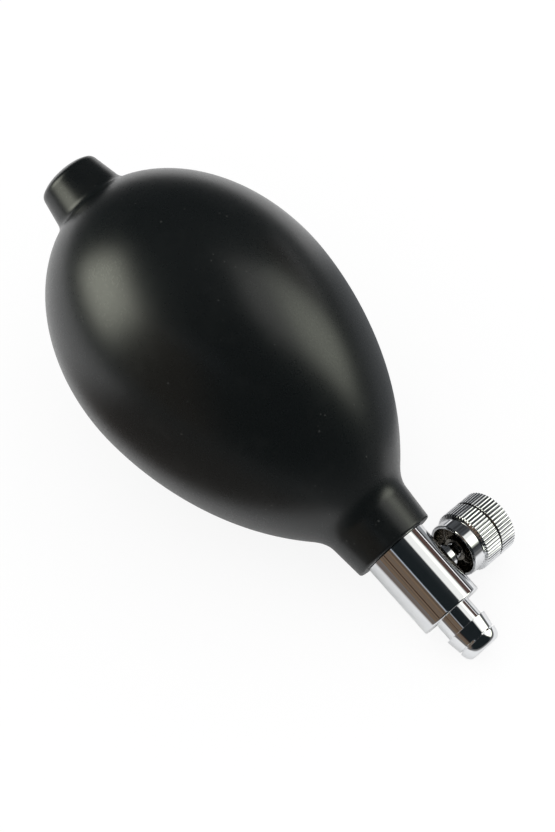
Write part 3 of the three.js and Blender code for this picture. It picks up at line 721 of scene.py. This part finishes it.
# What the gloss sees of the room. Each row has the azimuth and elevation of a panel's middle, its half width
# and half height, all in degrees, the softness of its edge, its glow, and whether boards streak it.
panels = [
    (75, 34, 50, 45, 0.20, (0.012, 0.016, 0.018), False),  # unlit side of the room
    (2, 14, 20, 37, 0.06, (0.21, 0.145, 0.095), True),  # warm wall
    (4, 20, 22, 2.0, 0.02, (0.04, 0.025, 0.02), False),  # dark shelf across it
    (19, 50, 16, 1.6, 0.02, (0.45, 0.50, 0.56), False),  # cool strip above it
    (178, 18, 9, 9, 0.03, (0.12, 0.065, 0.05), True),  # brown door
    (181, 8, 10, 1.6, 0.02, (1.6, 1.6, 1.6), False),  # bright sill under it
    (152, 38, 17, 26, 0.05, (1.1, 1.1, 1.06), False),  # the two soft boxes, each after its spill
    (150, 25, 13, 16, 0.14, (2.95, 3.05, 2.6), False),
    (315, 24, 23, 25, 0.15, (0.7, 0.7, 0.66), False),
    (315, 25, 18, 17, 0.14, (5.3, 5.4, 4.6), False),
]


def paperFinish():
    material, tree, where = newFinish("paperFloor")
    sheet = tree.blend(tree.grain(where, 2.0, 4), *studio["floorColours"])
    right = tree.along(where, (1, 0, 0))
    back = tree.along(where, (0, 1, 0))
    ways = {"right": right, "back": back, "slanted": back - right * 0.6,
            "outwards": (right * right + back * back) ** 0.5}
    mirrored = sheet
    for zoneColour, edges in floorZones:
        zone = math.prod(tree.between(ways[way], *edge) for way, edge in edges.items())
        mirrored = tree.blend(zone, mirrored, zoneColour)
    seen = tree.blend(tree.ray("Is Glossy Ray"), sheet, mirrored)
    matt = tree.add("ShaderNodeBsdfDiffuse", {}, {"Color": seen})
    glow = tree.add("ShaderNodeEmission", {}, {"Color": (1, 1, 1, 1), "Strength": 1.0})
    lifted = tree.ray("Is Camera Ray") * (1 - studio["shadowShare"])  # shadows show only faintly
    surface = tree.add("ShaderNodeMixShader", {}, {0: lifted, 1: matt, 2: glow})
    tree.add("ShaderNodeOutputMaterial", {}, {"Surface": surface})
    return material


floorMesh = bmesh.new()
bmesh.ops.create_grid(floorMesh, x_segments=4, y_segments=4, size=studio["floorHalf"])
placed(floorMesh, "paper_floor", Matrix.Identity(4), paperFinish())

world = bpy.data.worlds.new("studioRoom")
bpy.context.scene.world = world
room = NodeTree(world)
outward = room.add("ShaderNodeTexCoord", output="Generated")


def facing(azimuth, elevation):  # azimuth 0 looks along -Y, 90 along +X
    a = math.radians(azimuth)
    e = math.radians(elevation)
    return Vector((math.sin(a) * math.cos(e), -math.cos(a) * math.cos(e), math.sin(e)))


def panelMask(azimuth, elevation, halfWidth, halfHeight, softness):
    middle = facing(azimuth, elevation)
    wide = Vector((0, 0, 1)).cross(middle).normalized()
    ahead = room.along(outward, middle)
    mask = room.between(ahead, 0.0, 0.05)
    for direction, half in ((wide, halfWidth), (middle.cross(wide), halfHeight)):
        edge = math.tan(math.radians(half))
        off = room.maths("ABSOLUTE", room.along(outward, direction) / room.maths("MAXIMUM", ahead, 0.02))
        mask = mask * room.between(off, edge - softness, edge + softness, 1.0, 0.0)
    return mask


uneven = room.add("ShaderNodeTexNoise", {},
                  {"Vector": outward, "Scale": studio["roomScale"], "Detail": 4.0, "Roughness": 0.65})
boards = room.bands(room.along(outward, facing(*studio["boardsFacing"])), studio["boardsScale"])
streaks = room.between(boards, *studio["boardsEdge"], studio["boardsShade"], 1.0)
dimmed = tuple(part * studio["roomDimmed"] for part in studio["room"])
colour = room.blend(room.between(uneven, *studio["roomDimmedEdge"]), studio["room"], dimmed)
for *shape, glow, streaked in panels:
    share = panelMask(*shape)
    colour = room.blend(share * streaks if streaked else share, colour, glow)
colour = room.blend(room.ray("Is Glossy Ray"), studio["dome"], colour)
colour = room.blend(room.ray("Is Camera Ray"), colour, studio["backdrop"])
background = room.add("ShaderNodeBackground", {}, {"Color": colour, "Strength": 1.0})
room.add("ShaderNodeOutputWorld", {}, {"Surface": background})

back = facing(studio["azimuth"], studio["elevation"])
lineSeen = (lineDir - back * lineDir.dot(back)).normalized()
lineSide = back.cross(lineSeen)
lineTurn = math.radians(studio["lineTurn"])
up = lineSeen * math.cos(lineTurn) + lineSide * math.sin(lineTurn)
aim = lineStart + lineDir * studio["aim"] * mm + lineSide * studio["aimAside"] * mm
camera = bpy.data.cameras.new("viewCamera")
camera.lens = studio["lens"]
camera.sensor_width = 36
camera.clip_start = 0.01
cameraObject = bpy.data.objects.new("viewCamera", camera)
cameraTurn = Matrix((up.cross(back), up, back)).transposed().to_4x4()
cameraObject.matrix_world = Matrix.Translation(aim + back * studio["distance"]) @ cameraTurn
bpy.context.scene.collection.objects.link(cameraObject)
bpy.context.scene.camera = cameraObject
bpy.context.scene.view_settings.view_transform = "Standard"
print("studio set")
